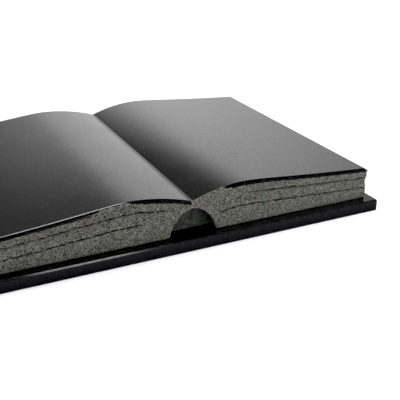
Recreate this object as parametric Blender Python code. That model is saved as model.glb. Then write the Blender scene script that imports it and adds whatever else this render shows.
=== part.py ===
"""Open-book grave memorial in black granite: a carved page block bonded on a thin cover slab.

The frame has +Z up, +X along the width of the open book and -Y towards its foot edge, which is
the side that a reader stands at. The origin is the middle of the slab's underside. Metres.
"""

import math

import bmesh
import bpy
from mathutils import Vector

# Page block, measured over the lower edge of its polished chamfer
BLOCK_WIDTH = 0.3950
BLOCK_DEPTH = 0.3000
FORE_EDGE_HEIGHT = 0.0320

# Page curve: it climbs from the valley at the spine to a crown, then falls to the fore edge.
# Heights are over the fore edge, and each page has its own crown, as the mason left it.
VALLEY_RISE = 0.0004
LEFT_CROWN_OFFSET = 0.0640
LEFT_CROWN_RISE = 0.0116
RIGHT_CROWN_OFFSET = 0.0550
RIGHT_CROWN_RISE = 0.0109
VALLEY_STEEPNESS = 0.90
CROWN_SOFTNESS = 0.12
FALL_HOLLOW = 0.30
CLIMB_STEPS = 10
FALL_STEPS = 15

# Thin line cut along the valley
GROOVE_WIDTH = 0.0012
GROOVE_DEPTH = 0.0007

# Polished chamfer round the page edges, and the picked faces set back below it
CHAMFER = 0.0020
PICK_DEPTH = 0.0009
PICK_LEDGE = 0.0004
BASE_ARRIS = 0.0010

# Leaf lines: each layer of leaves leans out to a lip that overhangs the layer below it
LEAF_SHARES = (0.35, 0.69)
LEAF_FOLLOW = (0.70, 0.85)
LIP_REACH = 0.0006
LIP_UNDERCUT = 0.0007
LIP_DROP = 0.0007
LIP_FADE_START = 0.0240
LIP_FADE_LENGTH = 0.0260

# Arched hollow of the spine, cut into the head and the foot of the block
POCKET_HALF_WIDTH = 0.0235
POCKET_ROOF = 0.0064
POCKET_DEPTH = 0.0130
POCKET_FLARE = 0.0030
POCKET_FLARE_HEIGHT = 0.0016
POCKET_FULLNESS = 1.68
POCKET_STEPS = 24

# Cover slab
SLAB_THICKNESS = 0.0120
SIDE_OVERHANG = 0.0085
END_OVERHANG = 0.0095
SLAB_ARRIS = 0.0013
BED_GAP = 0.0003

# Finishes of the one black stone: name, linear colour, roughness
PICKED_GRANITE = ("picked_grey_granite", (0.105, 0.110, 0.098), 0.85)
POLISHED_GRANITE = ("polished_black_granite", (0.010, 0.010, 0.011), 0.06)
HONED_GRANITE = ("honed_dark_granite", (0.020, 0.020, 0.021), 0.45)
BLOCK_FINISHES = (PICKED_GRANITE, POLISHED_GRANITE, HONED_GRANITE)

HALF_WIDTH = BLOCK_WIDTH / 2
HALF_DEPTH = BLOCK_DEPTH / 2
VALLEY_HEIGHT = FORE_EDGE_HEIGHT + VALLEY_RISE
BED_HEIGHT = SLAB_THICKNESS + BED_GAP
POCKET_RISE = VALLEY_HEIGHT - POCKET_ROOF


def crown(x):
    """(offset from the spine, rise over the fore edge) of the crown of the page that x is on."""
    if x < 0:
        return LEFT_CROWN_OFFSET, LEFT_CROWN_RISE
    return RIGHT_CROWN_OFFSET, RIGHT_CROWN_RISE


def page_height(x):
    """Height of the page surface over the bed at x, with the spine at x = 0."""
    offset, rise = crown(x)
    run = abs(x)
    if run < offset:
        climb = math.sin(math.pi / 2 * (run / offset) ** VALLEY_STEEPNESS)
        return VALLEY_HEIGHT + (rise - VALLEY_RISE) * climb
    share = (run - offset) / (HALF_WIDTH - offset)
    soft = CROWN_SOFTNESS
    fall = (math.hypot(share, soft) - soft) / (math.hypot(1, soft) - soft)
    fall += FALL_HOLLOW * fall * (1 - fall)
    return FORE_EDGE_HEIGHT + rise * (1 - fall)


def lip_share(x):
    """How much of the leaf lips is left at x: none beside the spine, all of it further out."""
    share = (abs(x) - LIP_FADE_START) / LIP_FADE_LENGTH
    share = min(max(share, 0.0), 1.0)
    return share * share * (3 - 2 * share)


def page_runs(offset):
    """Distances from the spine of the rows of points across one page, with its crown at offset."""
    start = GROOVE_WIDTH / 2
    runs = [start]
    for step in range(1, CLIMB_STEPS + 1):
        runs.append(start + (offset - start) * step / CLIMB_STEPS)
    for step in range(1, FALL_STEPS):
        runs.append(offset + (HALF_WIDTH - offset) * step / FALL_STEPS)
    return runs


def page_stations():
    """The x of each row of points across the open book, from the left page to the right."""
    left = [-run for run in reversed(page_runs(LEFT_CROWN_OFFSET))]
    return left + [0.0] + page_runs(RIGHT_CROWN_OFFSET)


def side_profile(x):
    """(height, inset) pairs up a side face at x, from the bed to the edge of the page."""
    top = page_height(x)
    lip = lip_share(x)
    profile = [(0.0, PICK_DEPTH + BASE_ARRIS), (BASE_ARRIS, PICK_DEPTH)]
    for share, follow in zip(LEAF_SHARES, LEAF_FOLLOW):
        line = FORE_EDGE_HEIGHT * share + (top - FORE_EDGE_HEIGHT) * follow
        profile.append((line - LIP_DROP, PICK_DEPTH + LIP_UNDERCUT * lip))
        profile.append((line, PICK_DEPTH - LIP_REACH * lip))
    groove = GROOVE_DEPTH if x == 0.0 else 0.0
    profile.append((top - CHAMFER - PICK_LEDGE - groove, PICK_DEPTH))
    profile.append((top - CHAMFER - groove, 0.0))
    profile.append((top - groove, CHAMFER))
    return profile


def solid(name, mesh):
    """One named object from a finished bmesh."""
    data = bpy.data.meshes.new(name)
    mesh.to_mesh(data)
    mesh.free()
    item = bpy.data.objects.new(name, data)
    bpy.context.scene.collection.objects.link(item)
    return item


def granite(finish):
    """Principled material of one finish of the stone."""
    name, colour, roughness = finish
    material = bpy.data.materials.new(name)
    material.use_nodes = True
    shader = material.node_tree.nodes["Principled BSDF"]
    shader.inputs["Base Color"].default_value = (*colour, 1.0)
    shader.inputs["Roughness"].default_value = roughness
    shader.inputs["Metallic"].default_value = 0.0
    return material


def page_block_mesh():
    """The open book: rings of points round its four sides, closed by the pages and the bed."""
    mesh = bmesh.new()
    stations = page_stations()
    corner = side_profile(HALF_WIDTH)
    rings = []
    for level in range(len(corner)):
        height, inset = corner[level]
        front = [(-(HALF_WIDTH - inset), -(HALF_DEPTH - inset), height)]
        for x in stations:
            z, set_back = side_profile(x)[level]
            front.append((x, -(HALF_DEPTH - set_back), z))
        front.append((HALF_WIDTH - inset, -(HALF_DEPTH - inset), height))
        back = [(x, -y, z) for x, y, z in reversed(front)]
        rings.append([mesh.verts.new((x, y, z + BED_HEIGHT)) for x, y, z in front + back])

    count = len(rings[0])
    page_edge = rings[-1]
    for lower, upper in zip(rings, rings[1:]):
        finish = POLISHED_GRANITE if upper is page_edge else PICKED_GRANITE
        for i in range(count):
            j = (i + 1) % count
            face = mesh.faces.new((lower[i], lower[j], upper[j], upper[i]))
            face.material_index = BLOCK_FINISHES.index(finish)
    for i in range(count // 2 - 1):
        far = count - 1 - i
        page = mesh.faces.new((page_edge[i], page_edge[i + 1], page_edge[far - 1], page_edge[far]))
        page.material_index = BLOCK_FINISHES.index(POLISHED_GRANITE)
    bed = mesh.faces.new(list(reversed(rings[0])))
    bed.material_index = BLOCK_FINISHES.index(HONED_GRANITE)
    return mesh


def pocket_outline():
    """Arch of the spine's hollow, from its left foot over the top to its right foot."""
    arch = [(-POCKET_HALF_WIDTH - POCKET_FLARE, -BED_GAP)]
    for step in range(POCKET_STEPS + 1):
        angle = math.pi * (1 - step / POCKET_STEPS)
        across = math.copysign(abs(math.cos(angle)) ** (2 / POCKET_FULLNESS), math.cos(angle))
        up = abs(math.sin(angle)) ** (2 / POCKET_FULLNESS)
        height = POCKET_FLARE_HEIGHT + (POCKET_RISE - POCKET_FLARE_HEIGHT) * up
        arch.append((POCKET_HALF_WIDTH * across, height))
    arch.append((POCKET_HALF_WIDTH + POCKET_FLARE, -BED_GAP))
    return arch


def pocket_cutter(name, side):
    """A bar of the arch's outline that reaches POCKET_DEPTH into the face on that side."""
    mesh = bmesh.new()
    outer = HALF_DEPTH + POCKET_DEPTH
    inner = HALF_DEPTH - PICK_DEPTH - POCKET_DEPTH
    loops = []
    for y in (outer * side, inner * side):
        loops.append([mesh.verts.new((x, y, z + BED_HEIGHT)) for x, z in pocket_outline()])
    near, far = loops
    count = len(near)
    for i in range(count):
        j = (i + 1) % count
        mesh.faces.new((near[i], near[j], far[j], far[i]))
    mesh.faces.new(near)
    mesh.faces.new(far)
    bmesh.ops.recalc_face_normals(mesh, faces=mesh.faces)
    for face in mesh.faces:
        face.material_index = BLOCK_FINISHES.index(HONED_GRANITE)
    cutter = solid(name, mesh)
    cutter.hide_render = True
    cutter.display_type = "WIRE"
    return cutter


def make_page_block():
    """The page block, with its spine hollow cut at the foot and at the head."""
    block = solid("book_block", page_block_mesh())
    for finish in BLOCK_FINISHES:
        block.data.materials.append(granite(finish))
    for name, side in (("foot_pocket_cutter", -1), ("head_pocket_cutter", 1)):
        cut = block.modifiers.new(name, "BOOLEAN")
        cut.operation = "DIFFERENCE"
        cut.solver = "EXACT"
        cut.object = pocket_cutter(name, side)
    block.data.shade_smooth()
    block.data.set_sharp_from_angle(angle=math.radians(20))
    return block


def make_cover_slab():
    """The cover: a thin slab that stands out past the pages all round, its arrises eased."""
    mesh = bmesh.new()
    bmesh.ops.create_cube(mesh, size=1.0)
    size = Vector((BLOCK_WIDTH + 2 * SIDE_OVERHANG, BLOCK_DEPTH + 2 * END_OVERHANG, SLAB_THICKNESS))
    bmesh.ops.scale(mesh, vec=size, verts=mesh.verts)
    bmesh.ops.translate(mesh, vec=Vector((0, 0, SLAB_THICKNESS / 2)), verts=mesh.verts)
    slab = solid("cover_slab", mesh)
    arris = slab.modifiers.new("eased_arris", "BEVEL")
    arris.width = SLAB_ARRIS
    arris.segments = 1
    arris.limit_method = "ANGLE"
    slab.data.materials.append(granite(POLISHED_GRANITE))
    return slab


for item in list(bpy.data.objects):
    bpy.data.objects.remove(item)
make_page_block()
make_cover_slab()
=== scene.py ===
import math

import bpy
from mathutils import Matrix, Vector, noise


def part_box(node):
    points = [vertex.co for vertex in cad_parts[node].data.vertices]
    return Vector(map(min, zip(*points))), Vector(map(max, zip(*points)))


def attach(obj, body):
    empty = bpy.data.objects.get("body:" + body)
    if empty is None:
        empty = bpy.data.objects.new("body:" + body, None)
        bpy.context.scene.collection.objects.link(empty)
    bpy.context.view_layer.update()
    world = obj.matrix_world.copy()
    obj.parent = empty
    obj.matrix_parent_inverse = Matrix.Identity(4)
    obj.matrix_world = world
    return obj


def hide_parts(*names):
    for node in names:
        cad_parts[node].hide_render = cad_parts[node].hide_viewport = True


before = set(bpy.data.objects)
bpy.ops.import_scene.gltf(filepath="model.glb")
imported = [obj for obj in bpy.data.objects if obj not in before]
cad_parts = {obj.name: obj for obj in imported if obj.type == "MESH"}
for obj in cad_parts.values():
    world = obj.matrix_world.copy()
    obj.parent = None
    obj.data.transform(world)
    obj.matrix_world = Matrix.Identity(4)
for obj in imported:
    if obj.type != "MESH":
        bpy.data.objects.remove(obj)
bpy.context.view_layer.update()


# Cover slab
# The book's cover is one slab of black granite, sawn 12 mm thick. Its top is honed, its narrow
# sides are left satin and a polished facet runs between them; below it stays sawn. The book
# block is glued down on it with an even border all round.
SLAB_CORNER = 0.0006
SLAB_ARRIS = 0.0002
FACET_DROP = 0.0014
FACET_INSET = 0.0011
PLACE_TOLERANCE = 0.0002
DOWNWARD = -0.9
LEVEL = 0.99
UPRIGHT = 0.3
slab_low, slab_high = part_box("cover_slab")


def stone_colour(code):
    """An sRGB hex code as the linear colour that a shader takes."""
    channels = [int(code[place:place + 2], 16) / 255 for place in (1, 3, 5)]
    linear = [c / 12.92 if c <= 0.04045 else ((c + 0.055) / 1.055) ** 2.4 for c in channels]
    return (*linear, 1.0)


def add_node(tree, kind, settings, links=None):
    """Adds a node, sets its inputs or properties, and joins its inputs to other outputs."""
    node = tree.nodes.new(kind)
    for name, value in settings.items():
        if isinstance(name, int) or name in node.inputs:
            node.inputs[name].default_value = value
        else:
            setattr(node, name, value)
    for name, output in (links or {}).items():
        tree.links.new(output, node.inputs[name])
    return node


def new_finish(name):
    """An empty material with its node tree and its output node."""
    material = bpy.data.materials.new(name)
    material.use_nodes = True
    material.node_tree.nodes.clear()
    output = add_node(material.node_tree, "ShaderNodeOutputMaterial", {})
    return material, material.node_tree, output


def polished_black_granite():
    """Black granite polished to a mirror with resin pads: near-black feldspar with a few
    grey crystals that just show. Each mineral mirrors a little more or less than the next, and
    a faint haze of dust and wiping breaks the gloss."""
    CRYSTAL = 0.0012
    HAZE = 0.045
    material, tree, output = new_finish("polished_black_granite")
    place = add_node(tree, "ShaderNodeTexCoord", {})
    crystals = add_node(tree, "ShaderNodeTexVoronoi", {"Scale": 1 / CRYSTAL},
                        {"Vector": place.outputs["Object"]})
    bright = add_node(tree, "ShaderNodeSeparateColor", {}, {"Color": crystals.outputs["Color"]})
    fleck = add_node(tree, "ShaderNodeMapRange", {"From Min": 0.80, "From Max": 1.0},
                     {"Value": bright.outputs["Red"]})
    colour = add_node(tree, "ShaderNodeMix", {"data_type": "RGBA", 6: stone_colour("#090909"),
                                              7: stone_colour("#212223")},
                      {0: fleck.outputs["Result"]})
    haze = add_node(tree, "ShaderNodeTexNoise", {"Scale": 1 / HAZE, "Detail": 6.0},
                    {"Vector": place.outputs["Object"]})
    gloss = add_node(tree, "ShaderNodeMapRange",
                     {"From Min": 0.3, "From Max": 0.7, "To Min": 0.09, "To Max": 0.17},
                     {"Value": haze.outputs["Fac"]})
    mineral = add_node(tree, "ShaderNodeMapRange", {"To Min": 1.45, "To Max": 1.65},
                       {"Value": bright.outputs["Green"]})
    shader = add_node(tree, "ShaderNodeBsdfPrincipled", {},
                      {"Base Color": colour.outputs[2], "Roughness": gloss.outputs["Result"],
                       "IOR": mineral.outputs["Result"]})
    tree.links.new(shader.outputs["BSDF"], output.inputs["Surface"])
    return material


def honed_black_granite():
    """The slab's top, ground fine and only lightly buffed: the same black stone, which mirrors
    more weakly than the pages do."""
    CRYSTAL = 0.0012
    material, tree, output = new_finish("honed_black_granite")
    place = add_node(tree, "ShaderNodeTexCoord", {})
    crystals = add_node(tree, "ShaderNodeTexVoronoi", {"Scale": 1 / CRYSTAL},
                        {"Vector": place.outputs["Object"]})
    bright = add_node(tree, "ShaderNodeSeparateColor", {}, {"Color": crystals.outputs["Color"]})
    fleck = add_node(tree, "ShaderNodeMapRange", {"From Min": 0.75, "From Max": 1.0},
                     {"Value": bright.outputs["Red"]})
    colour = add_node(tree, "ShaderNodeMix", {"data_type": "RGBA", 6: stone_colour("#0b0b0b"),
                                              7: stone_colour("#1d1e1f")},
                      {0: fleck.outputs["Result"]})
    shader = add_node(tree, "ShaderNodeBsdfPrincipled",
                      {"IOR": 1.55, "Roughness": 0.15, "Specular IOR Level": 0.28},
                      {"Base Color": colour.outputs[2]})
    tree.links.new(shader.outputs["BSDF"], output.inputs["Surface"])
    return material


def satin_edge_granite():
    """The slab's narrow sides, dressed with a coarse pad and left satin: the same black stone with
    a weaker, softer gloss and a few scuffs. Its tone is painted darker at the foot and paler
    towards the top: painted reflection and shade."""
    CRYSTAL = 0.0014
    CRYSTAL_SHARE = 0.35
    SCUFF = 0.006
    material, tree, output = new_finish("satin_edge_granite")
    place = add_node(tree, "ShaderNodeTexCoord", {})
    crystals = add_node(tree, "ShaderNodeTexVoronoi", {"Scale": 1 / CRYSTAL},
                        {"Vector": place.outputs["Object"]})
    bright = add_node(tree, "ShaderNodeSeparateColor", {}, {"Color": crystals.outputs["Color"]})
    place_axes = add_node(tree, "ShaderNodeSeparateXYZ", {}, {"Vector": place.outputs["Object"]})
    # Painted reflection and shade: the sides' tone rises from dark at the foot to pale at the top.
    painted_reflection_shade = add_node(tree, "ShaderNodeMapRange", {"From Min": slab_low.z, "From Max": slab_high.z},
                      {"Value": place_axes.outputs["Z"]})
    fleck = add_node(tree, "ShaderNodeMath", {"operation": "MULTIPLY_ADD", 1: CRYSTAL_SHARE},
                     {0: bright.outputs["Red"], 2: painted_reflection_shade.outputs["Result"]})
    colour = add_node(tree, "ShaderNodeMix", {"data_type": "RGBA", 6: stone_colour("#0e0e10"),
                                              7: stone_colour("#1f1f21")},
                      {0: fleck.outputs[0]})
    scuffs = add_node(tree, "ShaderNodeTexNoise", {"Scale": 1 / SCUFF, "Detail": 5.0},
                      {"Vector": place.outputs["Object"]})
    gloss = add_node(tree, "ShaderNodeMapRange",
                     {"From Min": 0.3, "From Max": 0.7, "To Min": 0.22, "To Max": 0.36},
                     {"Value": scuffs.outputs["Fac"]})
    shader = add_node(tree, "ShaderNodeBsdfPrincipled", {"IOR": 1.55, "Specular IOR Level": 0.3},
                      {"Base Color": colour.outputs[2], "Roughness": gloss.outputs["Result"]})
    tree.links.new(shader.outputs["BSDF"], output.inputs["Surface"])
    return material


def sawn_granite(name, dark, pale):
    """The same granite where a saw left it: matt, with crystals that stand out. Made near black,
    the same finish also paints the shade in the leaf lines, over their real groove."""
    CRYSTAL = 0.0013
    material, tree, output = new_finish(name)
    place = add_node(tree, "ShaderNodeTexCoord", {})
    crystals = add_node(tree, "ShaderNodeTexVoronoi", {"Scale": 1 / CRYSTAL},
                        {"Vector": place.outputs["Object"]})
    bright = add_node(tree, "ShaderNodeSeparateColor", {}, {"Color": crystals.outputs["Color"]})
    fleck = add_node(tree, "ShaderNodeMapRange", {"From Min": 0.45, "From Max": 1.0},
                     {"Value": bright.outputs["Red"]})
    colour = add_node(tree, "ShaderNodeMix", {"data_type": "RGBA", 6: stone_colour(dark),
                                              7: stone_colour(pale)},
                      {0: fleck.outputs["Result"]})
    shader = add_node(tree, "ShaderNodeBsdfPrincipled", {"IOR": 1.5, "Roughness": 0.6},
                      {"Base Color": colour.outputs[2]})
    tree.links.new(shader.outputs["BSDF"], output.inputs["Surface"])
    return material


def select_edges(piece, wanted):
    """In edit mode, selects only the edges whose two ends satisfy the given test."""
    bpy.ops.object.mode_set(mode="OBJECT")
    mesh = piece.data
    for group in (mesh.vertices, mesh.edges, mesh.polygons):
        group.foreach_set("select", [False] * len(group))
    for edge in mesh.edges:
        ends = [mesh.vertices[index].co for index in edge.vertices]
        edge.select = wanted(*ends)
    bpy.ops.object.mode_set(mode="EDIT")
    bpy.ops.mesh.select_mode(type="EDGE")


def same(first, second):
    """Whether two coordinates are one and the same, but for rounding."""
    return abs(first - second) < PLACE_TOLERANCE


bpy.ops.object.select_all(action="DESELECT")
bpy.ops.mesh.primitive_plane_add(size=2, location=(0, 0, slab_low.z))
slab = bpy.context.object
slab.name = slab.data.name = "cover_slab_stone"
reach, depth = slab_high.x, slab_high.y
slab.scale = (reach - SLAB_ARRIS, depth - SLAB_ARRIS, 1)
bpy.ops.object.transform_apply(location=True, rotation=False, scale=True)
bpy.ops.object.mode_set(mode="EDIT")
bpy.ops.mesh.bevel(offset=SLAB_CORNER, segments=3, affect="VERTICES")
slab_rings = ((slab_low.z, SLAB_ARRIS), (slab_low.z + SLAB_ARRIS, 0.0),
              (slab_high.z - FACET_DROP, 0.0),
              (slab_high.z - SLAB_ARRIS / 2, FACET_INSET - SLAB_ARRIS),
              (slab_high.z, FACET_INSET))
for (height0, inset0), (height1, inset1) in zip(slab_rings, slab_rings[1:]):
    bpy.ops.mesh.extrude_region_move(
        TRANSFORM_OT_translate={"value": (0, 0, height1 - height0)})
    bpy.ops.transform.resize(value=((reach - inset1) / (reach - inset0),
                                    (depth - inset1) / (depth - inset0), 1),
                             center_override=(0, 0, height1))
bpy.ops.mesh.select_all(action="SELECT")
bpy.ops.mesh.normals_make_consistent(inside=False)
bpy.ops.object.mode_set(mode="OBJECT")
slab.data.materials.append(polished_black_granite())
slab.data.materials.append(satin_edge_granite())
slab.data.materials.append(sawn_granite("sawn_granite", "#262726", "#434543"))
slab.data.materials.append(honed_black_granite())
POLISHED, SATIN, SAWN, HONED = range(4)
for face in slab.data.polygons:
    if face.normal.z < DOWNWARD:
        face.material_index = SAWN
    elif face.normal.z > LEVEL:
        face.material_index = HONED
    elif abs(face.normal.z) < UPRIGHT:
        face.material_index = SATIN
    else:
        face.material_index = POLISHED


def shade_by_area(piece, angle):
    """Shades a piece smooth up to an angle, with its broad faces kept flat to their edges."""
    bpy.ops.object.select_all(action="DESELECT")
    piece.select_set(True)
    bpy.context.view_layer.objects.active = piece
    bpy.ops.object.shade_smooth_by_angle(angle=math.radians(angle))
    weighting = piece.modifiers.new("broad_faces", "WEIGHTED_NORMAL")
    weighting.weight = 100
    weighting.keep_sharp = True
    bpy.ops.object.modifier_apply(modifier="broad_faces")


shade_by_area(slab, 30)
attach(slab, "root")
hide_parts("cover_slab")


# Book block
# The open book is carved from one block of the same granite. Its two pages are ground to a
# curve and polished with a narrow chamfer round them, its four sides are picked rough with
# a point chisel to read as paper, and a saw hollows its spine at both ends.
block_low, block_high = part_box("book_block")
HALF_WIDTH = block_high.x
HALF_DEPTH = block_high.y
BED = block_low.z
FORE_EDGE_HEIGHT = 0.0320
VALLEY_RISE = 0.0004
CROWN_RISE = {-1: 0.0116, 1: 0.0109}
CROWN_OFFSET = {-1: 0.0640, 1: 0.0550}
VALLEY_STEEPNESS = 0.90
CROWN_SOFTNESS = 0.12
FALL_HOLLOW = {-1: 0.38, 1: 0.30}

# The narrow strip beside the valley: (distance from the spine, height over the valley)
STRIP_START = -0.0031
STRIP_END = 0.0006
SPINE_STRIP = ((-0.0029, 0.00108), (-0.0028, 0.00020), (-0.0020, 0.00006), (-0.0015, 0.00024),
               (0.0004, 0.00025))

# From the page over the rounded chamfer: (inset, drop)
CHAMFER_PROFILE = ((0.0024, 0.0), (0.0014, 0.0010), (0.0004, 0.0020), (0.0001, 0.0026),
                   (0.0, 0.0033))
CHAMFER = CHAMFER_PROFILE[0][0]
CHAMFER_DROP = CHAMFER_PROFILE[-1][1]
WALL_INSET = 0.0002
PAGE_ARRIS = 0.0008
PICK_DEPTH = 0.0009
PICK_LEDGE = 0.0004
BASE_ARRIS = 0.0003
PICK_CELL = 0.0009
PICKS_FADE = 0.0015
BLOW_DEPTH = 0.0006
BLOW_SIZE = 0.0035
CHIP_DEPTH = 0.0007
CHIP_SIZE = 0.0012

# Each leaf, from the top one down: rows of faces, and (share of the way down, inset)
LEAF_SHARES = (0.69, 0.35)
LEAF_FOLLOW = (0.85, 0.70)
LEAF_ROWS = (12, 14, 13)
LEAF_LEAN = (((0, 0.0012), (0.5, 0.0009), (1, 0.0002)),
             ((0, 0.0009), (0.3, 0.0021), (0.6, 0.0018), (0.85, 0.0008), (1, 0.0008)),
             ((0, 0.0010), (0.4, 0.0010), (1, 0.0014)))

# Leaf lines: on each side of the spine, where the upper and the lower line end and how much of
# them is worn away, and how far a line strays from its smooth curve
LINE_HALF_WIDTH = 0.0008
LINE_INSET = 0.0022
LINE_ENDS = {-1: (0.023, 0.048), 1: (0.051, 0.027)}
LINE_FADE = 0.008
LINE_WANDER = 0.0012
WANDER_SIZE = 0.009
LINE_WAVER = 0.0011
WAVER_SIZE = 0.003
STRAY_FADE = 0.004
LINE_BREAK = 0.004
LINE_GAPS = {-1: -0.07, 1: 0.0}

# How much of the chamfer the picks take: (distance from the spine, share of its height)
RAGGED_SHARE = 0.3
PICKS_CLIMB = ((-0.100, 0.0), (-0.090, 0.6), (-0.064, 0.7), (-0.050, 0.0), (-0.0012, 0.0),
               (-0.0008, 1.2), (0.024, 1.2), (0.042, 0.0))

# Hollow of the spine: an arch with its heights over the bed, cut from outside the block
HOLLOW_HALF_WIDTH = 0.0235
HOLLOW_RISE = 0.0260
HOLLOW_DEPTH = 0.0130
HOLLOW_FLARE = 0.0030
HOLLOW_FLARE_HEIGHT = 0.0016
HOLLOW_FULLNESS = 1.68
HOLLOW_STEPS = 40
HOLLOW_FOOT = -0.0003
CUTTER_EXCESS = 0.01


def page_height(x):
    """The height of the polished page over the bed, at a distance x from the spine."""
    side = -1 if x < 0 else 1
    offset, rise = CROWN_OFFSET[side], CROWN_RISE[side]
    run = abs(x)
    if run < offset:
        climb = math.sin(math.pi / 2 * (run / offset) ** VALLEY_STEEPNESS)
        return FORE_EDGE_HEIGHT + VALLEY_RISE + (rise - VALLEY_RISE) * climb
    share = (run - offset) / (HALF_WIDTH - offset)
    fall = math.hypot(share, CROWN_SOFTNESS) - CROWN_SOFTNESS
    fall /= math.hypot(1, CROWN_SOFTNESS) - CROWN_SOFTNESS
    fall += FALL_HOLLOW[side] * fall * (1 - fall)
    return FORE_EDGE_HEIGHT + rise * (1 - fall)


def page_stations(start, end):
    """Even stations along a page, about one pick apart."""
    count = round(abs(end - start) / PICK_CELL)
    return [start + (end - start) * step / count for step in range(count + 1)]


# The polished face: a narrow strip at the left edge, drawn out along the page curve.
page_reach = HALF_WIDTH - CHAMFER
page_depth = HALF_DEPTH - CHAMFER
valley = BED + FORE_EDGE_HEIGHT + VALLEY_RISE
profile = [(x, BED + page_height(x)) for x in page_stations(-page_reach, STRIP_START)]
profile += [(x, valley + rise) for x, rise in SPINE_STRIP]
profile += [(x, BED + page_height(x)) for x in page_stations(STRIP_END, page_reach)]
first, second = profile[0], profile[1]
bpy.ops.object.select_all(action="DESELECT")
bpy.ops.mesh.primitive_plane_add(size=1, location=((first[0] + second[0]) / 2, 0, first[1]))
block = bpy.context.object
block.name = block.data.name = "book_block_stone"
block.scale = (second[0] - first[0], 2 * page_depth, 1)
bpy.ops.object.transform_apply(location=True, rotation=False, scale=True)
select_edges(block, lambda a, b: same(a.x, second[0]) and same(b.x, second[0]))
bpy.ops.transform.translate(value=(0, 0, second[1] - first[1]))
for (x0, z0), (x1, z1) in zip(profile[1:], profile[2:]):
    bpy.ops.mesh.extrude_region_move(TRANSFORM_OT_translate={"value": (x1 - x0, 0, z1 - z0)})
select_edges(block, lambda a, b: same(abs(a.x), page_reach) and same(a.x, b.x))
bpy.ops.mesh.subdivide(number_cuts=round(2 * page_depth / PICK_CELL) - 1)

# The sides: rings drawn down from the page's edge, over the chamfer and the two leaf lines.
# A ring's height over the bed is a share of the fore edge and a share of the page's rise.
leaf_lines = [(1, 1)] + list(zip(LEAF_SHARES, LEAF_FOLLOW)) + [(0, 0)]
rings = [(1, 1, drop, inset) for inset, drop in CHAMFER_PROFILE]
rings.append((1, 1, CHAMFER_DROP + PICK_LEDGE, WALL_INSET))
for index, rows in enumerate(LEAF_ROWS):
    top = (*leaf_lines[index], LINE_HALF_WIDTH if index else CHAMFER_DROP + PICK_LEDGE)
    last = index == len(LEAF_ROWS) - 1
    foot = (*leaf_lines[index + 1], -BASE_ARRIS if last else -LINE_HALF_WIDTH)
    for row in range(0 if index else 1, rows + 1):
        share, follow, drop = (a + (b - a) * row / rows for a, b in zip(top, foot))
        rings.append((share, follow, drop, WALL_INSET))
    if not last:
        rings.append((*leaf_lines[index + 1], 0, WALL_INSET))
rings.append((0, 0, 0, PICK_DEPTH + BASE_ARRIS))
bpy.ops.mesh.select_all(action="DESELECT")
bpy.ops.mesh.select_non_manifold()
for (share0, follow0, drop0, inset0), (share1, follow1, drop1, inset1) in zip(rings, rings[1:]):
    bpy.ops.mesh.extrude_region_move(TRANSFORM_OT_translate={"value": (0, 0, 0)})
    flatten = follow1 / follow0 if follow0 else 1
    bpy.ops.transform.resize(
        value=((HALF_WIDTH - inset1) / (HALF_WIDTH - inset0),
               (HALF_DEPTH - inset1) / (HALF_DEPTH - inset0), flatten),
        center_override=(0, 0, BED + FORE_EDGE_HEIGHT * share0 - drop0))
    lower = FORE_EDGE_HEIGHT * (share1 - share0) - (drop1 - drop0)
    bpy.ops.transform.translate(value=(0, 0, lower))
bpy.ops.mesh.edge_face_add()
bpy.ops.mesh.select_all(action="SELECT")
bpy.ops.mesh.normals_make_consistent(inside=False)


def on_page_edge(point):
    """Whether a point lies on the arris between the page and its chamfer."""
    reach = same(abs(point.x), page_reach) or same(abs(point.y), page_depth)
    return reach and point.z > BED + FORE_EDGE_HEIGHT


select_edges(block, lambda a, b: on_page_edge(a) and on_page_edge(b)
             and (same(abs(a.y), page_depth) and same(a.y, b.y)
                  or same(abs(a.x), page_reach) and same(a.x, b.x)))
bpy.ops.mesh.bevel(offset=PAGE_ARRIS, segments=4, profile=0.5, clamp_overlap=True)
bpy.ops.object.mode_set(mode="OBJECT")


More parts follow.
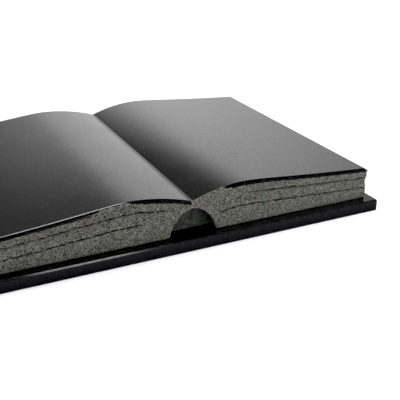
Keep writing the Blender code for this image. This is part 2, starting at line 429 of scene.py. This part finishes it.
def picked_granite():
    """The same granite split off by a point chisel: each blow bruises the crystals pale, so
    the face is a salt-and-pepper grey, a little green, with a rare rusty grain."""
    CRYSTAL = 0.0007
    CRYSTAL_SHARE = 0.62
    DARKEN = -0.12
    DUST = 0.0005
    RUST = 0.0022
    material, tree, output = new_finish("picked_granite")
    place = add_node(tree, "ShaderNodeTexCoord", {})
    crystals = add_node(tree, "ShaderNodeTexVoronoi", {"Scale": 1 / CRYSTAL},
                        {"Vector": place.outputs["Object"]})
    grain = add_node(tree, "ShaderNodeSeparateColor", {}, {"Color": crystals.outputs["Color"]})
    dust = add_node(tree, "ShaderNodeTexNoise", {"Scale": 1 / DUST, "Detail": 2.0},
                    {"Vector": place.outputs["Object"]})
    mixed = add_node(tree, "ShaderNodeMath", {"operation": "MULTIPLY_ADD", 1: CRYSTAL_SHARE,
                                             2: DARKEN},
                     {0: grain.outputs["Red"]})
    blend = add_node(tree, "ShaderNodeMath", {"operation": "ADD"},
                     {0: mixed.outputs[0], 1: dust.outputs["Fac"]})
    tone = add_node(tree, "ShaderNodeMapRange", {"From Min": 0.50, "From Max": 1.02},
                    {"Value": blend.outputs[0]})
    stone = add_node(tree, "ShaderNodeMix", {"data_type": "RGBA", 6: stone_colour("#121310"),
                                             7: stone_colour("#6f7069")},
                     {0: tone.outputs["Result"]})
    rust = add_node(tree, "ShaderNodeTexVoronoi", {"Scale": 1 / RUST},
                    {"Vector": place.outputs["Object"]})
    rusty = add_node(tree, "ShaderNodeSeparateColor", {}, {"Color": rust.outputs["Color"]})
    spots = add_node(tree, "ShaderNodeMapRange", {"From Min": 0.955, "From Max": 0.975,
                                                  "To Max": 0.35},
                     {"Value": rusty.outputs["Green"]})
    colour = add_node(tree, "ShaderNodeMix", {"data_type": "RGBA", 7: stone_colour("#5e3f38")},
                      {0: spots.outputs["Result"], 6: stone.outputs[2]})
    bump = add_node(tree, "ShaderNodeBump", {"Strength": 0.6, "Distance": 0.0004},
                    {"Height": blend.outputs[0]})
    shader = add_node(tree, "ShaderNodeBsdfPrincipled", {"IOR": 1.5, "Roughness": 0.8},
                      {"Base Color": colour.outputs[2], "Normal": bump.outputs["Normal"]})
    tree.links.new(shader.outputs["BSDF"], output.inputs["Surface"])
    return material


block.data.materials.append(bpy.data.materials["polished_black_granite"])
block.data.materials.append(picked_granite())
block.data.materials.append(bpy.data.materials["sawn_granite"])
# The leaf lines' faces get a near-black finish: painted shade, over the real groove in the mesh.
block.data.materials.append(sawn_granite("painted_line_shade", "#0b0b0a", "#1e1e1b"))
POLISHED, PICKED, SAWN, PAINTED_LINE_SHADE = range(4)


def page_line(x, share, follow):
    """The height of a leaf line over the bed at a distance x from the spine."""
    return FORE_EDGE_HEIGHT * share + (page_height(x) - FORE_EDGE_HEIGHT) * follow


def leaf_inset(point):
    """How far in a point of the picked side lies.
    Each leaf leans out to a lip at its foot, and a line under the lip parts it from the next.
    On the two ends of the spine the lines die out before they meet the hollow."""
    height = point.z - BED
    heights = [page_line(point.x, *line) for line in leaf_lines]
    heights[0] -= CHAMFER_DROP + PICK_LEDGE
    leaf = next((k for k in range(len(LEAF_ROWS)) if height > heights[k + 1] - LINE_HALF_WIDTH / 2),
                len(LEAF_ROWS) - 1)
    down = (heights[leaf] - height) / (heights[leaf] - heights[leaf + 1])
    down = min(max(down, 0), 1)
    knots = LEAF_LEAN[leaf]
    for (down0, inset0), (down1, inset1) in zip(knots, knots[1:]):
        if down <= down1:
            turn = (1 - math.cos(math.pi * (down - down0) / (down1 - down0))) / 2
            inset = inset0 + (inset1 - inset0) * turn
            break
    nearest = min((1, 2), key=lambda k: abs(height - heights[k]))
    start = LINE_ENDS[-1 if point.x < 0 else 1][nearest - 1]
    fade = min(max((abs(point.x) - start) / LINE_FADE, 0), 1)
    in_line = abs(height - heights[nearest]) < LINE_HALF_WIDTH / 2
    line_inset = LINE_INSET * fade if in_line else 0
    fade = fade * fade * (3 - 2 * fade)
    return max(PICK_DEPTH + (inset - PICK_DEPTH) * fade, line_inset)


lean = block.vertex_groups.new(name="leaf_lean")
picks = block.vertex_groups.new(name="picks")
wander = block.vertex_groups.new(name="line_wander")
for vertex in block.data.vertices:
    point = vertex.co
    height = point.z - BED
    room = min(height, page_height(point.x) - CHAMFER_DROP - PICK_LEDGE / 2 - height)
    if room < 0:
        continue
    inset = leaf_inset(point)
    lean.add([vertex.index], (inset - WALL_INSET) / LINE_INSET, "REPLACE")
    picks.add([vertex.index], min(room / PICKS_FADE, 1), "REPLACE")
    wander.add([vertex.index], min(room / STRAY_FADE, 1), "REPLACE")


def push(piece, name, group, strength, texture=None, direction="NORMAL", middle=0.5):
    """Moves a piece's surface in or out, or up and down, by a vertex group and a texture."""
    modifier = piece.modifiers.new(name, "DISPLACE")
    modifier.vertex_group = group
    modifier.strength = strength
    modifier.mid_level = middle
    modifier.direction = direction
    modifier.texture = texture
    modifier.texture_coords = "LOCAL"
    with bpy.context.temp_override(object=piece):
        bpy.ops.object.modifier_apply(modifier=name)


def grit(name, size):
    """A cloud texture whose lumps have the given size."""
    texture = bpy.data.textures.new(name, "CLOUDS")
    texture.noise_scale = size
    texture.noise_depth = 1
    return texture


def is_picked_chamfer(face):
    """Whether a face of the front or back chamfer was never polished: right of the valley the
    picks climb to the page's edge, and under the left crown they take the chamfer's foot."""
    if abs(face.center.y) < page_depth - PAGE_ARRIS:
        return False
    climb = 0
    for (x0, climb0), (x1, climb1) in zip(PICKS_CLIMB, PICKS_CLIMB[1:]):
        if x0 <= face.center.x < x1:
            climb = climb0 + (climb1 - climb0) * (face.center.x - x0) / (x1 - x0)
    down = (page_height(face.center.x) - (face.center.z - BED)) / CHAMFER_DROP
    ragged = RAGGED_SHARE * noise.noise(face.center / LINE_BREAK)
    return climb > 0 and down > 1 - climb + ragged


def is_line(face):
    """Whether a face of the picked side lies in a leaf line, whose cut comes and goes; these faces
    get the painted shade of the line.
    """
    height = face.center.z - BED
    for number, line in enumerate(leaf_lines[1:-1]):
        above = height - page_line(face.center.x, *line)
        side = -1 if face.center.x < 0 else 1
        if abs(above) < LINE_HALF_WIDTH and abs(face.center.x) > LINE_ENDS[side][number]:
            wear = noise.noise(face.center / LINE_BREAK + Vector((0, 0, above / PICK_CELL)))
            return wear > LINE_GAPS[side]
    return False


for face in block.data.polygons:
    centre = face.center
    height = centre.z - BED
    on_chamfer = height > page_height(centre.x) - CHAMFER_DROP
    if face.normal.z < DOWNWARD and height < BASE_ARRIS / 2:
        face.material_index = SAWN
    elif not on_chamfer:
        face.material_index = PAINTED_LINE_SHADE if is_line(face) else PICKED
    elif is_picked_chamfer(face):
        face.material_index = PICKED
    else:
        face.material_index = POLISHED

push(block, "lean", "leaf_lean", -LINE_INSET, middle=0)
push(block, "wander", "line_wander", LINE_WANDER, grit("wander", WANDER_SIZE), direction="Z")
push(block, "waver", "line_wander", LINE_WAVER, grit("waver", WAVER_SIZE), direction="Z")
push(block, "blows", "picks", BLOW_DEPTH, grit("blows", BLOW_SIZE))
push(block, "chips", "picks", CHIP_DEPTH, grit("chips", CHIP_SIZE))

# The hollow of the spine: an arch with a flared foot at both ends, its back wall sawn and
# its soffit chiselled.
outline = [(HOLLOW_HALF_WIDTH + HOLLOW_FLARE, HOLLOW_FOOT)]
for step in range(HOLLOW_STEPS + 1):
    turn = math.pi * step / HOLLOW_STEPS
    across = math.copysign(abs(math.cos(turn)) ** (2 / HOLLOW_FULLNESS), math.cos(turn))
    above = abs(math.sin(turn)) ** (2 / HOLLOW_FULLNESS)
    outline.append((HOLLOW_HALF_WIDTH * across,
                    HOLLOW_FLARE_HEIGHT + (HOLLOW_RISE - HOLLOW_FLARE_HEIGHT) * above))
outline.append((-HOLLOW_HALF_WIDTH - HOLLOW_FLARE, HOLLOW_FOOT))
cutter_start = HALF_DEPTH + CUTTER_EXCESS
cutter_end = HALF_DEPTH - PICK_DEPTH - HOLLOW_DEPTH
WALL_FINISH, SOFFIT_FINISH = range(2)
for end in (-1, 1):
    bpy.ops.object.select_all(action="DESELECT")
    bpy.ops.mesh.primitive_circle_add(vertices=len(outline), fill_type="NGON",
                                      location=(0, end * cutter_start, 0))
    cutter = bpy.context.object
    bpy.ops.object.transform_apply(location=True)
    for vertex, (x, z) in zip(cutter.data.vertices, outline):
        vertex.co = (x, end * cutter_start, BED + z)
    bpy.ops.object.mode_set(mode="EDIT")
    bpy.ops.mesh.select_all(action="SELECT")
    bpy.ops.mesh.extrude_region_move(
        TRANSFORM_OT_translate={"value": (0, end * (cutter_end - cutter_start), 0)})
    bpy.ops.mesh.select_all(action="SELECT")
    bpy.ops.mesh.normals_make_consistent(inside=False)
    bpy.ops.object.mode_set(mode="OBJECT")
    cutter.data.materials.append(bpy.data.materials["sawn_granite"])
    cutter.data.materials.append(bpy.data.materials["picked_granite"])
    for face in cutter.data.polygons:
        is_wall = same(abs(face.normal.y), 1)
        face.material_index = WALL_FINISH if is_wall else SOFFIT_FINISH
    sawing = block.modifiers.new("hollow", "BOOLEAN")
    sawing.object = cutter
    sawing.operation = "DIFFERENCE"
    sawing.material_mode = "TRANSFER"
    with bpy.context.temp_override(object=block):
        bpy.ops.object.modifier_apply(modifier="hollow")
    bpy.data.objects.remove(cutter)

shade_by_area(block, 35)
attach(block, "root")
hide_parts("book_block")


# Floor
# A plain pale sweep of matt board under the book, wide enough to fill the picture, so that
# only the soft shadow along the slab shows where it lies.
FLOOR_SIZE = 30
FLOOR_GAP = 0.0002
bpy.ops.object.select_all(action="DESELECT")
bpy.ops.mesh.primitive_plane_add(size=FLOOR_SIZE, location=(0, 0, slab_low.z - FLOOR_GAP))
floor = bpy.context.object
floor.name = "studio_floor"
board, board_tree, board_output = new_finish("matt_white_board")
board_shader = add_node(board_tree, "ShaderNodeBsdfPrincipled",
                        {"Base Color": stone_colour("#f9f9fa"), "Roughness": 0.9})
board_tree.links.new(board_shader.outputs["BSDF"], board_output.inputs["Surface"])
floor.data.materials.append(board)
floor.visible_glossy = False

# Light
# A wide diffuser over the table makes the soft shadow, two low fills light the picked sides,
# two softboxes draw the thin lights along the arrises, and the polished pages mirror a lit
# cloth that hangs behind the book.
sun = bpy.data.objects.new("overhead_diffuser", bpy.data.lights.new("overhead_diffuser", "SUN"))
sun.data.energy = 3.8
sun.data.angle = math.radians(116)
sun.rotation_euler = (math.radians(4), 0, 0)
sun.visible_glossy = False
bpy.context.scene.collection.objects.link(sun)


def rectangle_light(name, place, tilt, size, energy):
    """A rectangular area light at a place, turned by its three angles in degrees."""
    light = bpy.data.objects.new(name, bpy.data.lights.new(name, "AREA"))
    light.data.shape = "RECTANGLE"
    light.data.size, light.data.size_y = size
    light.data.energy = energy
    light.location = place
    light.rotation_euler = [math.radians(angle) for angle in tilt]
    bpy.context.scene.collection.objects.link(light)
    return light


for softbox in (
        rectangle_light("top_softbox", (0.05, 0.20, 1.05), (0, 0, 0), (0.40, 0.80), 9.0),
        rectangle_light("front_softbox", (0.23, -1.20, 0.88), (50, 0, 12), (0.28, 0.50), 2.0)):
    softbox.visible_diffuse = False

for fill in (
        rectangle_light("front_fill", (0.40, -0.72, 0.09), (88, 0, 24), (1.20, 0.16), 5.9),
        rectangle_light("left_fill", (-0.90, -0.35, 0.09), (88, 0, -70), (0.20, 0.16), 0.4)):
    fill.visible_glossy = False

# The cloth: where it hangs, and how bright it is. It glows most at its middle, gets brighter
# upwards at first and fades out to the tone of the room.
CLOTH_AZIMUTH = math.radians(49.1)
CLOTH_DISTANCE = 1.212
CLOTH_ASIDE = -0.543
CLOTH_HEIGHT = 1.10
CLOTH_WIDTH = 5
CLOTH_GLOW = 1.246
CLOTH_SIDE_LOSS = -1.336
CLOTH_UPWARD_GAIN = 0.489
CLOTH_LEAST_GLOW = 0.15
CLOTH_FADE_START = -0.043
CLOTH_FADE_END = 0.502
ROOM_GLOW = 0.225
cloth_across = Vector((math.cos(CLOTH_AZIMUTH), -math.sin(CLOTH_AZIMUTH), 0))
cloth_ahead = Vector((math.sin(CLOTH_AZIMUTH), math.cos(CLOTH_AZIMUTH), 0))
cloth_place = cloth_ahead * CLOTH_DISTANCE + cloth_across * CLOTH_ASIDE
cloth_place.z = slab_high.z + CLOTH_HEIGHT / 2
bpy.ops.object.select_all(action="DESELECT")
bpy.ops.mesh.primitive_plane_add(size=1, location=cloth_place,
                                 rotation=(math.radians(90), 0, -CLOTH_AZIMUTH))
cloth = bpy.context.object
cloth.name = "lit_cloth"
cloth.scale = (CLOTH_WIDTH, CLOTH_HEIGHT, 1)
bpy.ops.object.transform_apply(location=False, rotation=False, scale=True)
backing, cloth_tree, cloth_output = new_finish("lit_cloth")
cloth_point = add_node(cloth_tree, "ShaderNodeTexCoord", {})
cloth_axes = add_node(cloth_tree, "ShaderNodeSeparateXYZ", {},
                      {"Vector": cloth_point.outputs["Object"]})
squared = add_node(cloth_tree, "ShaderNodeMath", {"operation": "MULTIPLY"},
                   {0: cloth_axes.outputs["X"], 1: cloth_axes.outputs["X"]})
spread = add_node(cloth_tree, "ShaderNodeMath",
                  {"operation": "MULTIPLY_ADD", 1: CLOTH_SIDE_LOSS, 2: CLOTH_GLOW},
                  {0: squared.outputs[0]})
raised = add_node(cloth_tree, "ShaderNodeMath",
                  {"operation": "MULTIPLY_ADD", 1: CLOTH_UPWARD_GAIN},
                  {0: cloth_axes.outputs["Y"], 2: spread.outputs[0]})
least = add_node(cloth_tree, "ShaderNodeMath", {"operation": "MAXIMUM", 1: CLOTH_LEAST_GLOW},
                 {0: raised.outputs[0]})
fading = add_node(cloth_tree, "ShaderNodeMapRange",
                  {"interpolation_type": "SMOOTHSTEP", "From Min": CLOTH_FADE_START,
                   "From Max": CLOTH_FADE_END, "To Min": 1.0, "To Max": 0.0},
                  {"Value": cloth_axes.outputs["Y"]})
cloth_glow = add_node(cloth_tree, "ShaderNodeMath", {"operation": "MULTIPLY_ADD", 2: ROOM_GLOW},
                      {0: least.outputs[0], 1: fading.outputs["Result"]})
lamp = add_node(cloth_tree, "ShaderNodeEmission", {}, {"Strength": cloth_glow.outputs[0]})
cloth_tree.links.new(lamp.outputs["Emission"], cloth_output.inputs["Surface"])
cloth.data.materials.append(backing)
cloth.visible_camera = False
cloth.visible_diffuse = False
cloth.visible_shadow = False

world = bpy.data.worlds.new("studio_room")
bpy.context.scene.world = world
world.use_nodes = True
room = world.node_tree
room.nodes.clear()
sight = add_node(room, "ShaderNodeTexCoord", {})
axes = add_node(room, "ShaderNodeSeparateXYZ", {}, {"Vector": sight.outputs["Generated"]})
ceiling = add_node(room, "ShaderNodeMapRange",
                   {"interpolation_type": "SMOOTHSTEP", "From Min": 0.50, "From Max": 0.80,
                    "To Min": ROOM_GLOW, "To Max": 0.01}, {"Value": axes.outputs["Z"]})
below = add_node(room, "ShaderNodeMapRange", {"From Min": -0.05, "From Max": 0.0},
                 {"Value": axes.outputs["Z"]})
strength = add_node(room, "ShaderNodeMath", {"operation": "MULTIPLY"},
                    {0: ceiling.outputs["Result"], 1: below.outputs["Result"]})
background = add_node(room, "ShaderNodeBackground", {"Color": (1, 1, 1, 1)},
                      {"Strength": strength.outputs[0]})
add_node(room, "ShaderNodeOutputWorld", {}, {"Surface": background.outputs[0]})

# Camera
# A long lens at the front left and a little above the book, as in the photograph: its place
# and angles were fitted to the object's edges. The darkest tones are clipped to black.
CAMERA_YAW = math.radians(25.758)
CAMERA_PITCH = math.radians(24.089)
CAMERA_ROLL = math.radians(0.171)
CAMERA_PLACE = Vector((-0.25227, -0.68590, 0.31172))
LENS_MM = 63.97
SENSOR_MM = 36
BLACK_LEVEL = 0.009
ahead = Vector((math.sin(CAMERA_YAW), math.cos(CAMERA_YAW), 0))
level_right = Vector((math.cos(CAMERA_YAW), -math.sin(CAMERA_YAW), 0))
upright = Vector((0, 0, 1))
sight_line = ahead * math.cos(CAMERA_PITCH) - upright * math.sin(CAMERA_PITCH)
level_up = ahead * math.sin(CAMERA_PITCH) + upright * math.cos(CAMERA_PITCH)
right = level_right * math.cos(CAMERA_ROLL) + level_up * math.sin(CAMERA_ROLL)
up = level_up * math.cos(CAMERA_ROLL) - level_right * math.sin(CAMERA_ROLL)
camera = bpy.data.objects.new("camera", bpy.data.cameras.new("camera"))
camera.data.lens = LENS_MM
camera.data.sensor_width = SENSOR_MM
turn = Matrix((right, up, -sight_line)).transposed().to_4x4()
camera.matrix_world = Matrix.Translation(CAMERA_PLACE) @ turn
bpy.context.scene.collection.objects.link(camera)
bpy.context.scene.camera = camera
look = bpy.context.scene.view_settings
look.view_transform = "Standard"
look.use_curve_mapping = True
look.curve_mapping.black_level = [BLACK_LEVEL] * 3
look.curve_mapping.update()
